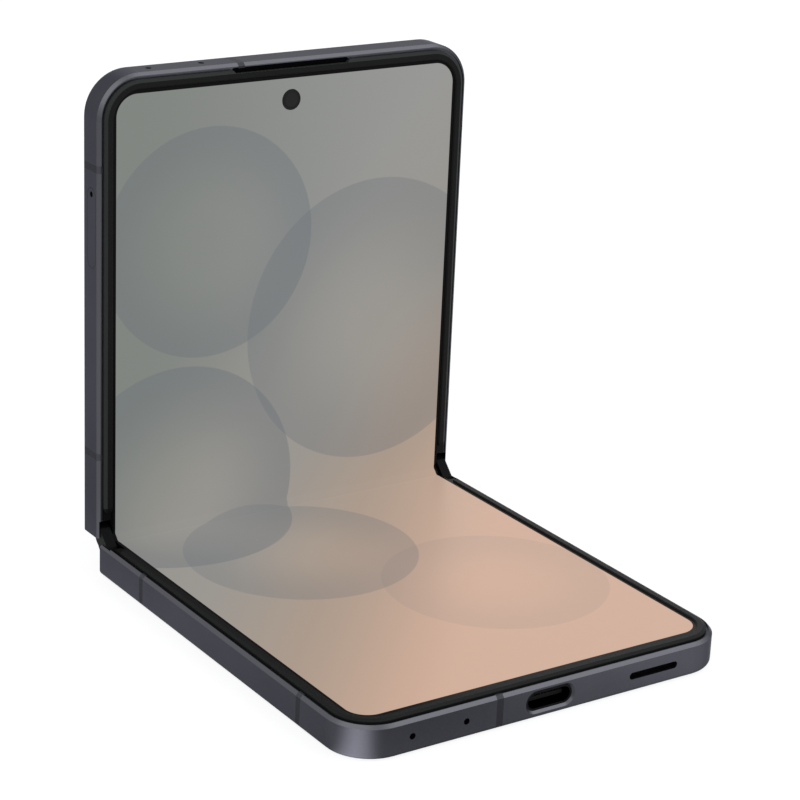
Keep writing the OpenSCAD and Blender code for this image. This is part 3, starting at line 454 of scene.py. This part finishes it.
def foil(name, colour):
    """The battery's laminated foil, faintly creased, with painted shade in the creases' hollows and a painted
    highlight on their crests.
    """
    g = Graph(name)
    creases = g.noise(130, 5, roughness=0.65)
    return g.finish(
        # Painted shade and highlight: the colour darkens in the creases' hollows and pales on their crests
        Base_Color=g.mix(g.step(creases, 0.35, 0.65), scaled(colour, 0.8), scaled(colour, 1.3)),
        Roughness=g.uneven(g.noise(4000, 2), 0.43, 0.07), Metallic=0.35,
        Normal=g.bump(creases, 0.015 * MM, 0.7),
    )


def flex(name, along):
    """Amber polyimide film over parallel copper tracks."""
    g = Graph(name)
    x, _, z = g.split(g.place())
    stripes = g.math("FRACT", g.math("DIVIDE", {"X": x, "Z": z}[along], 0.4 * MM))
    track = g.math("MULTIPLY", g.step(stripes, 0.2, 0.28), g.step(stripes, 0.8, 0.72))
    film = g.mix(g.step(g.noise(300, 3), 0.3, 0.7), (0.17, 0.075, 0.02), (0.22, 0.10, 0.03))
    return g.finish(
        Base_Color=g.mix(track, film, (0.36, 0.18, 0.07)),
        Roughness=g.uneven(g.noise(2500, 2), 0.36, 0.06),
        Normal=g.bump(track, 0.015 * MM, 0.5),
    )


# ---- The lit screen ----

def picture_colour(g, across, along):
    """A generic wallpaper: a slate to peach gradient under large, soft, overlapping discs."""
    x = g.math("DIVIDE", across, MM)
    s = g.math("DIVIDE", along, MM)
    tilt = g.math("ADD", s, g.math("MULTIPLY", x, WALLPAPER_TILT))
    top = g.mix(g.step(x, -34, 34), TOP_LEFT, TOP_RIGHT)
    colour = g.mix(g.step(tilt, 60, 10), top, MIDDLE)
    colour = g.mix(g.step(tilt, 12, -28), colour, WARM)
    colour = g.mix(g.step(tilt, -18, -62), colour, PEACH)
    for middle_x, middle_s, radius, dark, soft in DISCS:
        away = g.length(g.math("SUBTRACT", x, middle_x), g.math("SUBTRACT", s, middle_s))
        inside = g.step(away, radius, radius - DISC_EDGE)
        shade = g.step(away, radius - soft, radius, 0.0, dark)
        colour = g.mix(g.math("MULTIPLY", inside, shade), colour, SLATE)
    return colour


def screen_material(name, part):
    """The screen's plastic film over its lit pixels; part says how a point's place is read."""
    g = Graph(name)
    if part == "fold":
        across, along, _ = g.split(g.node("UVMap", uv_map="screen"))
    else:
        across, y, z = g.split(g.place())
        if part == "lower":
            along = g.math("SUBTRACT", y, LOWER_AXIS.y + HALF_SPINE)
        else:
            along = g.math("SUBTRACT", z, UPPER_AXIS.z - HALF_SPINE)
    half = (PICTURE_FAR["upper"] - PICTURE_FAR["lower"]) / 2
    middle = (PICTURE_FAR["upper"] + PICTURE_FAR["lower"]) / 2
    lit = g.rounded_window(
        across, g.math("SUBTRACT", along, middle), PICTURE_SIDE, half, PICTURE_CORNER, 0.03 * MM)
    film = g.noise(700, 3)
    return g.finish(
        Base_Color=BORDER_COLOUR, Roughness=g.step(film, 0.3, 0.7, 0.3, 0.36), Specular_IOR_Level=0.03,
        Emission_Color=g.mix(lit, BLACK, picture_colour(g, across, along)),
        Emission_Strength=PICTURE_GLOW, Normal=g.bump(film, 0.0006 * MM, 0.3),
    )


def bent_point(axis, start, span, turned, distance, depth):
    flat = Vector((0, distance, -depth))
    share = 0.5
    for _ in range(FOLD_SOLVER_STEPS):
        point = axis + Matrix.Rotation(REST_TURN * (turned + share), 3, "X") @ flat
        reached = max(0.0, min(1.0, (point - start).dot(span) / span.length_squared))
        share = (share + reached * reached * (3 - 2 * reached)) / 2
    return point


def fold_strip(name, axis, start, end, flat_range, turned):
    """One half of the bending strip, thin and closed, built bent for the phone opened at a right angle; its
    UV map keeps the flat screen's places.
    turned is how many of the two folds lie before it."""
    mesh = bpy.data.meshes.new(name)
    build = bmesh.new()
    layer = build.loops.layers.uv.new("screen")
    from_middle = HALF_SPINE if turned else -HALF_SPINE
    low, high = flat_range
    grid = {}
    for row in range(FOLD_ROWS + 1):
        distance = low + (high - low) * row / FOLD_ROWS
        for level, depth in enumerate((0.0, FOLD_THICKNESS)):
            place = bent_point(axis, start, end - start, turned, distance, depth)
            for column, x in enumerate((-SCREEN_SIDE, SCREEN_SIDE)):
                vertex = build.verts.new((x, place.y, place.z))
                grid[row, level, column] = (vertex, (x, distance + from_middle))

    def face(*keys):
        made = build.faces.new([grid[key][0] for key in keys])
        for loop, key in zip(made.loops, keys):
            loop[layer].uv = grid[key][1]

    for row in range(FOLD_ROWS):
        face((row, 0, 0), (row, 0, 1), (row + 1, 0, 1), (row + 1, 0, 0))
        face((row, 1, 0), (row + 1, 1, 0), (row + 1, 1, 1), (row, 1, 1))
        face((row, 0, 0), (row + 1, 0, 0), (row + 1, 1, 0), (row, 1, 0))
        face((row, 0, 1), (row, 1, 1), (row + 1, 1, 1), (row + 1, 0, 1))
    face((0, 0, 0), (0, 1, 0), (0, 1, 1), (0, 0, 1))
    face((FOLD_ROWS, 0, 0), (FOLD_ROWS, 0, 1), (FOLD_ROWS, 1, 1), (FOLD_ROWS, 1, 0))
    build.to_mesh(mesh)
    build.free()
    mesh.shade_smooth()
    mesh.set_sharp_from_angle(angle=FOLD_CREASE_ANGLE)
    piece = bpy.data.objects.new(name, mesh)
    bpy.context.scene.collection.objects.link(piece)
    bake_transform(piece)
    return piece


def make_fold():
    """The free part of the screen: two strips that meet at the middle of the spine."""
    free = LOWER_AXIS.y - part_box("lower_screen")[1].y
    along_spine = (UPPER_AXIS - LOWER_AXIS).normalized() * HALF_SPINE
    along_lower, along_upper = Vector((0, HALF_SPINE, 0)), Vector((0, 0, HALF_SPINE))
    material = screen_material("fold_film", "fold")
    strips = [
        fold_strip("fold_screen_lower", LOWER_AXIS,
            LOWER_AXIS - along_lower, LOWER_AXIS + along_spine, (-free, HALF_SPINE), 0),
        fold_strip("fold_screen_upper", UPPER_AXIS,
            UPPER_AXIS - along_spine, UPPER_AXIS + along_upper, (-HALF_SPINE, free), 1),
    ]
    for strip in strips:
        strip.data.materials.append(material)
    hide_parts("fold_screen")


# ---- Small parts that the CAD nodes leave plain ----

def add_piece(name, build, body, slot, *materials):
    """Finishes a mesh built in the rest pose as a piece that rides on a body."""
    bmesh.ops.remove_doubles(build, verts=build.verts, dist=WELD)
    bmesh.ops.recalc_face_normals(build, faces=build.faces)
    mesh = bpy.data.meshes.new(name)
    build.to_mesh(mesh)
    build.free()
    mesh.shade_smooth()
    mesh.set_sharp_from_angle(angle=CREASE_ANGLE)
    piece = bpy.data.objects.new(name, mesh)
    bpy.context.scene.collection.objects.link(piece)
    for material in materials:
        piece.data.materials.append(material)
    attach(piece, body)
    return piece


def turn_profile(build, middle, up, profile, segments=64):
    """Turns (radius mm, height mm, material) points about up; each material fills the band after it."""
    side = up.orthogonal().normalized()
    other = up.cross(side)
    turns = [2 * math.pi * i / segments for i in range(segments)]
    rings = []
    for radius, height, _ in profile:
        base = middle + up * (height * MM)
        if radius == 0:
            rings.append([build.verts.new(base)] * segments)
            continue
        rings.append([
            build.verts.new(base + (side * math.cos(a) + other * math.sin(a)) * radius * MM)
            for a in turns])
    for (_, _, material), first, second in zip(profile, rings, rings[1:]):
        for i in range(segments):
            j = (i + 1) % segments
            corners = list(dict.fromkeys([first[i], first[j], second[j], second[i]]))
            if len(corners) > 2:
                build.faces.new(corners).material_index = material


def close_rings(build, rings):
    """Joins rings of vertices into one closed solid."""
    for first, second in zip(rings, rings[1:]):
        for i in range(len(first)):
            j = (i + 1) % len(first)
            build.faces.new((first[i], first[j], second[j], second[i]))
    build.faces.new(rings[0])
    build.faces.new(rings[-1])


def bar(build, points, up, width, height):
    """A bar of rectangular section through these points."""
    rings = []
    for index, point in enumerate(points):
        way = points[min(index + 1, len(points) - 1)] - points[max(index - 1, 0)]
        side = way.cross(up).normalized() * width / 2
        rise = up * height / 2
        rings.append([
            build.verts.new(point + a * side + b * rise) for a, b in ((1, 1), (-1, 1), (-1, -1), (1, -1))])
    close_rings(build, rings)


def weave(name, body, middle, along, up, size, material):
    """Woven wire cloth that fills a slot with round ends, over a black backing plate that stands in for the
    shade in the slot. The size is its length, width, pitch and wire."""
    length, width, pitch, wire = size
    build = bmesh.new()
    side = up.cross(along)
    round_end = width / 2
    straight = length / 2 - round_end
    columns = max(1, round(length / pitch))
    rows = max(1, round(width / pitch))
    us = [length * ((i + 0.5) / columns - 0.5) for i in range(columns)]
    vs = [width * ((i + 0.5) / rows - 0.5) for i in range(rows)]
    lift = up * wire * 0.55

    def place(u, v, high):
        return middle + along * u + side * v + (lift if high else -lift)

    for row, v in enumerate(vs):
        end = straight + math.sqrt(max(round_end ** 2 - v ** 2, 0))
        inner = [place(u, v, (i + row) % 2 == 0) for i, u in enumerate(us) if abs(u) < end - wire]
        if inner:
            bar(build, [place(-end, v, True), *inner, place(end, v, True)], up, wire, wire)
    for column, u in enumerate(us):
        over = max(abs(u) - straight, 0)
        end = math.sqrt(max(round_end ** 2 - over ** 2, 0))
        inner = [place(u, v, (row + column) % 2 == 1) for row, v in enumerate(vs) if abs(v) < end - wire]
        if inner:
            bar(build, [place(u, -end, True), *inner, place(u, end, True)], up, wire, wire)
    # Painted shade: a black backing plate under the cloth stands in for the slot's shade
    back = middle - up * wire * 2.5
    rim = []
    for centre, start in ((straight, -90), (-straight, 90)):
        for turn in range(0, 181, 15):
            a = math.radians(start + turn)
            rim.append(back + along * (centre + round_end * math.cos(a)) + side * round_end * math.sin(a))
    close_rings(build, [[build.verts.new(point - sink) for point in rim] for sink in (up * wire, up * 0)])
    add_piece(name, build, body, "mesh_steel", material)


def lens_stack(name, middle, up, radius, depth, pupil, back, materials):
    """A lens seen through its cover: mask, stepped barrel and a domed front element, whose radius
    is the pupil's share of the whole."""
    build = bmesh.new()
    profile = [(0, back, 0)]
    for place, height, material in BARREL_STEPS:
        profile.append((radius * (pupil + (1 - pupil) * place), height * depth, material))
    for step in range(1, DOME_STEPS + 1):
        share = 1 - step / DOME_STEPS
        profile.append((radius * pupil * share, depth * (-1 + DOME_HEIGHT * (1 - share ** 2)), 2))
    turn_profile(build, middle, up, profile)
    return add_piece(name, build, "upper_half", "lens_glass", *materials)


def make_lenses():
    """The selfie camera's lens, the two rear lenses and the flash's ridges."""
    mask = plastic("lens_mask", (0.003, 0.003, 0.003), 0.3, specular=0.12)
    barrel = metal("lens_barrel", (0.018, 0.018, 0.02))
    element = rear_glass("lens_element", (0.006, 0.007, 0.012), 0.08, coat=0.2)
    front_element = plastic("selfie_element", (0.0075, 0.0075, 0.0075), 0.3, specular=0.12)
    clear = plastic("flash_clear", (0.72, 0.68, 0.5), 0.18, grain=1500, depth=0.0005 * MM)
    back_way = -UP["upper"]

    lens_stack("selfie_lens", on_half("upper", 0, SELFIE_INSET, -SELFIE_PROUD), UP["upper"],
        SELFIE_RADIUS, SELFIE_DEPTH, SELFIE_PUPIL, SELFIE_BACK, (mask, mask, front_element))

    low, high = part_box("camera_glasses")
    radius = (high.z - low.z) / 2
    lenses = [
        lens_stack(f"camera_lens_{index + 1}", Vector((x, high.y, (low.z + high.z) / 2)), back_way,
            radius / MM, CAMERA_DEPTH, CAMERA_PUPILS[index], CAMERA_BACK, (mask, barrel, element))
        for index, x in enumerate((low.x + radius, high.x - radius))]
    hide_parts("camera_glasses")

    low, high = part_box("flash_lens")
    ridges = bmesh.new()
    radius = (high.z - low.z) / 2 / MM
    edge = radius * 0.98
    pitch = radius / (FLASH_RINGS + 0.8)
    profile = [(0, FLASH_BACK, 0), (edge, FLASH_BACK, 0), (edge, 0.0, 0)]
    for ring in range(FLASH_RINGS, 0, -1):
        profile += [(pitch * (ring + 0.3), FLASH_CREST, 0), (pitch * ring, FLASH_VALLEY, 0)]
    profile.append((0, FLASH_MIDDLE, 0))
    middle = Vector(((low.x + high.x) / 2, high.y, (low.z + high.z) / 2))
    turn_profile(ridges, middle, back_way, profile)
    add_piece("flash_fresnel", ridges, "upper_half", "lens_glass", clear)


def make_openings():
    """Black sleeves lining the microphone holes as painted shade, cloth in the holes, and the earpiece's and
    loudspeaker's cloth.
    """
    # Black woven cloth, also used for the sleeves and backings that stand in for shade
    cloth_and_shade = plastic("woven_cloth_and_painted_shade", (0.0016, 0.0016, 0.0019), 0.6, specular=0.05)
    microphones = [(half, index + 1, x) for half in ("lower", "upper") for index, x in enumerate(MICROPHONES)]
    for half, number, x in microphones:
        # Painted shade: a black sleeve lines each hole where the frame's metal wall would show
        shade_sleeve = bmesh.new()
        place = on_half(half, x, SHADE_SLEEVE_INSET, PORT_DEPTH)
        turn_profile(shade_sleeve, place, OUT[half], MICROPHONE_SHADE_SLEEVE, SHADE_SLEEVE_SEGMENTS)
        add_piece(f"{half}_microphone_bush_{number}", shade_sleeve, f"{half}_half", "module_plastic", cloth_and_shade)
    weave("earpiece_mesh", "upper_half", on_half("upper", 0, EARPIECE_INSET, EARPIECE_DEPTH),
        ACROSS, UP["upper"], EARPIECE_MESH, cloth_and_shade)
    for half, number, x in microphones:
        weave(f"{half}_microphone_mesh_{number}", f"{half}_half", on_half(half, x, MESH_INSET, PORT_DEPTH),
            ACROSS, OUT[half], MICROPHONE_MESH, cloth_and_shade)
    low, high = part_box("loudspeaker_mesh")
    middle = Vector(((low.x + high.x) / 2, low.y - LOUDSPEAKER_PROUD, (low.z + high.z) / 2))
    size = (high.x - low.x - LOUDSPEAKER_GAP, high.z - low.z - LOUDSPEAKER_GAP,
        LOUDSPEAKER_PITCH, LOUDSPEAKER_WIRE)
    weave("loudspeaker_cloth", "lower_half", middle, ACROSS, OUT["lower"], size, cloth_and_shade)


def make_coil():
    """The charging coil as a wound spiral of wire."""
    low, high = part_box("charging_coil")
    centre = (low + high) / 2
    outer = (high.x - low.x) / 2 - COIL_WIRE * 0.6
    steps = COIL_TURNS * COIL_STEPS
    points = []
    for step in range(steps + 1):
        a = 2 * math.pi * step / COIL_STEPS
        radius = outer - COIL_WIDTH * step / steps
        points.append(centre + Vector((math.cos(a), math.sin(a), 0)) * radius)
    winding = bmesh.new()
    bar(winding, points, UP["lower"], COIL_WIRE, COIL_WIRE)
    coil = add_piece("coil_winding", winding, "lower_half", "copper_coil",
        metal("enamelled_wire", (0.62, 0.30, 0.15), 0.3))
    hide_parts("charging_coil")


def make_contacts():
    """The contacts on both faces of the USB tongue."""
    contacts = bmesh.new()
    half_length = OUT["lower"] * CONTACT_LENGTH / 2
    for face in (-1, 1):
        for index in range(CONTACTS):
            x = (index - (CONTACTS - 1) / 2) * CONTACT_PITCH
            place = on_half("lower", x, CONTACT_INSET, PORT_DEPTH + face * CONTACT_RISE)
            bar(contacts, [place - half_length, place + half_length], UP["lower"],
                CONTACT_WIDTH, CONTACT_HEIGHT)
    add_piece("usb_contacts", contacts, "lower_half", "copper_coil",
        metal("contact_gold", (0.75, 0.52, 0.2), 0.28))


def paint(material, *nodes):
    for node in nodes:
        slots = NODES[node].data.materials
        slots.clear()
        slots.append(material)


def paint_nodes():
    """Gives every CAD node that shows, and those inside, its finish."""
    paint(anodised("lower_anodised", UP["lower"]), "lower_frame")
    paint(anodised("upper_anodised", UP["upper"]), "upper_frame", "sim_tray", "power_key", "volume_key")
    paint(band_plastic("lower_break", UP["lower"]), "lower_antenna_bands")
    paint(band_plastic("upper_break", UP["upper"]), "upper_antenna_bands")
    paint(bezel("lower_rim", "lower"), "lower_bezel")
    paint(bezel("upper_rim", "upper"), "upper_bezel")
    paint(rear_glass("satin_glass", (0.040, 0.043, 0.060), 0.3), "lower_rear_cover")
    paint(cover_glass("gloss_glass"), "upper_rear_cover")
    paint(rear_glass("display_panel", (0.004, 0.004, 0.005), 0.2), "cover_display")
    paint(screen_material("lower_film", "lower"), "lower_screen")
    paint(screen_material("upper_film", "upper"), "upper_screen")
    paint(anodised("hinge_anodised", (0, 0.7, -0.7), FRAME_COLOUR), "hinge_cover")
    paint(plastic("cap_plastic", (0.0012, 0.0013, 0.0018), 0.5, specular=0.06), "hinge_end_caps")
    paint(metal("port_steel", (0.008, 0.008, 0.009), 0.4, "Y"), "usb_port")
    paint(plastic("tongue_plastic", (0.002, 0.002, 0.0024), 0.5, specular=0.1), "usb_tongue")
    paint(plastic("mesh_dark", (0.002, 0.002, 0.0022), 0.6, specular=0.05), "loudspeaker_mesh")
    paint(metal("plate_steel", (0.3, 0.3, 0.31), along="X"), "lower_screen_plate", "upper_screen_plate")
    paint(metal("hinge_steel", (0.45, 0.45, 0.47)), *[
        node for node in NODES if any(word in node for word in ("hinge_base", "arm", "idler", "bracket"))])
    paint(metal("shield_steel", (0.55, 0.55, 0.56), 0.3, "X"), "board_shields", "friction_springs",
        "hinge_shafts", "lower_screws", "upper_screws", "sim_reader")
    paint(board("lower_solder_mask", (1, 1, 0)), "charging_board")
    paint(board("upper_solder_mask", (1, 0, 1)), "main_board")
    paint(flex("hinge_film", "X"), "hinge_flex")
    paint(flex("key_film", "Z"), "key_switches")
    paint(foil("battery_foil", (0.035, 0.035, 0.038)), "lower_battery", "upper_battery")
    paint(plastic("module_plastic", (0.015, 0.015, 0.016)), "loudspeaker", "bottom_microphones",
        "top_microphones", "earpiece", "vibration_motor", "wide_camera", "ultrawide_camera", "selfie_camera")
    paint(anodised("ring_anodised", (0, 1, 0)), "camera_rings")
    paint(plastic("flash_plastic", (0.7, 0.66, 0.5), 0.3), "flash_lens")


# ---- Studio ----

def make_sky():
    """A cool, even sky that the camera, gloss and glass see as white, with dark cards in the gloss."""
    g = Graph("studio", world=True)
    path, shown = g.ray_kinds()
    way = g.node("TexCoord", out="Generated")
    dark = 0.0
    for towards, rim, full, depth in DARK_CARDS:
        nearness = g.vector("DOT_PRODUCT", way, towards, out="Value")
        dark = g.math("ADD", dark, g.step(nearness, rim, full, 0.0, depth))
    hidden = g.math("MULTIPLY", dark, path["Is Glossy Ray"])
    fill = g.node("Background", {0: SKY_FILL, 1: SKY_FILL_STRENGTH})
    bright = g.node("Background", {0: WHITE, 1: g.math("SUBTRACT", 1.0, hidden)})
    g.set(g.output.inputs[0], g.node("MixShader", {0: shown, 1: fill, 2: bright}))
    bpy.context.scene.world = g.owner


def floor_sheen(g):
    """How bright the floor is in glossy surfaces. It is darker round the lower half's near left corner,
    apart from a bright wedge that the rounded corner shows. In front it goes from dark on the left to
    bright on the right. It brightens towards the fold, falls and rises again behind the fold on the
    left, and is dark on the far right."""
    x, y, _ = g.split(g.place())
    away_x = g.math("SUBTRACT", x, LOWER_LEFT + FRAME_CORNER)
    away_y = g.math("SUBTRACT", y, LOWER_END + FRAME_CORNER)
    away = g.length(away_x, away_y)
    turned = g.math("ARCTAN2", g.math("MULTIPLY", away_x, -1.0), g.math("MULTIPLY", away_y, -1.0))
    off_wedge = g.math("ABSOLUTE", g.math("SUBTRACT", turned, WEDGE_MIDDLE))
    behind = g.math("ADD", g.step(y, *BEHIND_FALL), g.step(y, *BEHIND_RISE))
    total = g.step(away, *CORNER_SHADE)
    for lift, reach in (
        (g.step(off_wedge, *WEDGE_ACROSS), g.step(away, *WEDGE_OUTWARD)),
        (g.step(x, *FRONT_LIFT), g.step(y, *FRONT_REACH)),
        (g.step(y, *FOLDWARD_LIFT), g.step(x, *FOLDWARD_REACH)),
        (behind, g.step(x, *BEHIND_REACH)),
    ):
        total = g.math("ADD", total, g.math("MULTIPLY", lift, reach))
    across, along = (g.math("MULTIPLY", axis, part) for axis, part in zip((x, y), FAR_RIGHT_WAY))
    return g.math("MULTIPLY", total, g.step(g.math("ADD", across, along), *FAR_RIGHT_FALL))


def make_floor():
    """Pale paper that lights the phone, and that the camera sees as white with a faint shadow."""
    g = Graph("floor_paper")
    path, shown = g.ray_kinds()
    grain = g.step(g.noise(900, 4), 0.3, 0.7)
    paper = g.node("BsdfDiffuse", {"Color": g.mix(grain, (0.9, 0.9, 0.9), (0.93, 0.93, 0.93))})
    glossy_glow = g.math("MULTIPLY", floor_sheen(g), FLOOR_GLOW)
    strength = g.mix_value(path["Is Camera Ray"], glossy_glow, FLOOR_GLOW)
    glow = g.node("Emission", {"Color": WHITE, "Strength": strength})
    lifted = g.node("AddShader", {0: g.node("BsdfDiffuse", {"Color": FLOOR_SHADOW}), 1: glow})
    g.set(g.output.inputs[0], g.node("MixShader", {0: shown, 1: paper, 2: lifted}))

    mesh = bpy.data.meshes.new("studio_floor")
    build = bmesh.new()
    bmesh.ops.create_circle(build, cap_ends=True, radius=FLOOR_RADIUS, segments=96)
    build.to_mesh(mesh)
    build.free()
    floor = bpy.data.objects.new("studio_floor", mesh)
    floor.location.z = -FLOOR_DROP
    floor.data.materials.append(g.owner)
    bpy.context.scene.collection.objects.link(floor)


def make_lamps():
    for name, (place, size, power) in SOFTBOXES.items():
        lamp = bpy.data.lights.new(name, "AREA")
        lamp.size = size
        lamp.energy = power
        holder = bpy.data.objects.new(name, lamp)
        holder.location = place
        holder.rotation_mode = "QUATERNION"
        holder.rotation_quaternion = (AIM - Vector(place)).to_track_quat("-Z", "Y")
        bpy.context.scene.collection.objects.link(holder)


def make_camera():
    data = bpy.data.cameras.new("camera")
    data.sensor_width = CAMERA_SENSOR
    data.lens = CAMERA_LENS
    data.clip_start = CAMERA_NEAR
    holder = bpy.data.objects.new("camera", data)
    bpy.context.scene.collection.objects.link(holder)
    turn = (Matrix.Rotation(math.radians(CAMERA_AZIMUTH), 4, "Z")
        @ Matrix.Rotation(math.radians(90 - CAMERA_ELEVATION), 4, "X")
        @ Matrix.Rotation(math.radians(CAMERA_ROLL), 4, "Z"))
    holder.matrix_world = Matrix.Translation(CAMERA_PLACE) @ turn
    bpy.context.scene.camera = holder


make_camera()
paint_nodes()
make_fold()
make_lenses()
make_openings()
make_coil()
make_contacts()
make_sky()
make_floor()
make_lamps()
bpy.context.scene.view_settings.view_transform = "Standard"
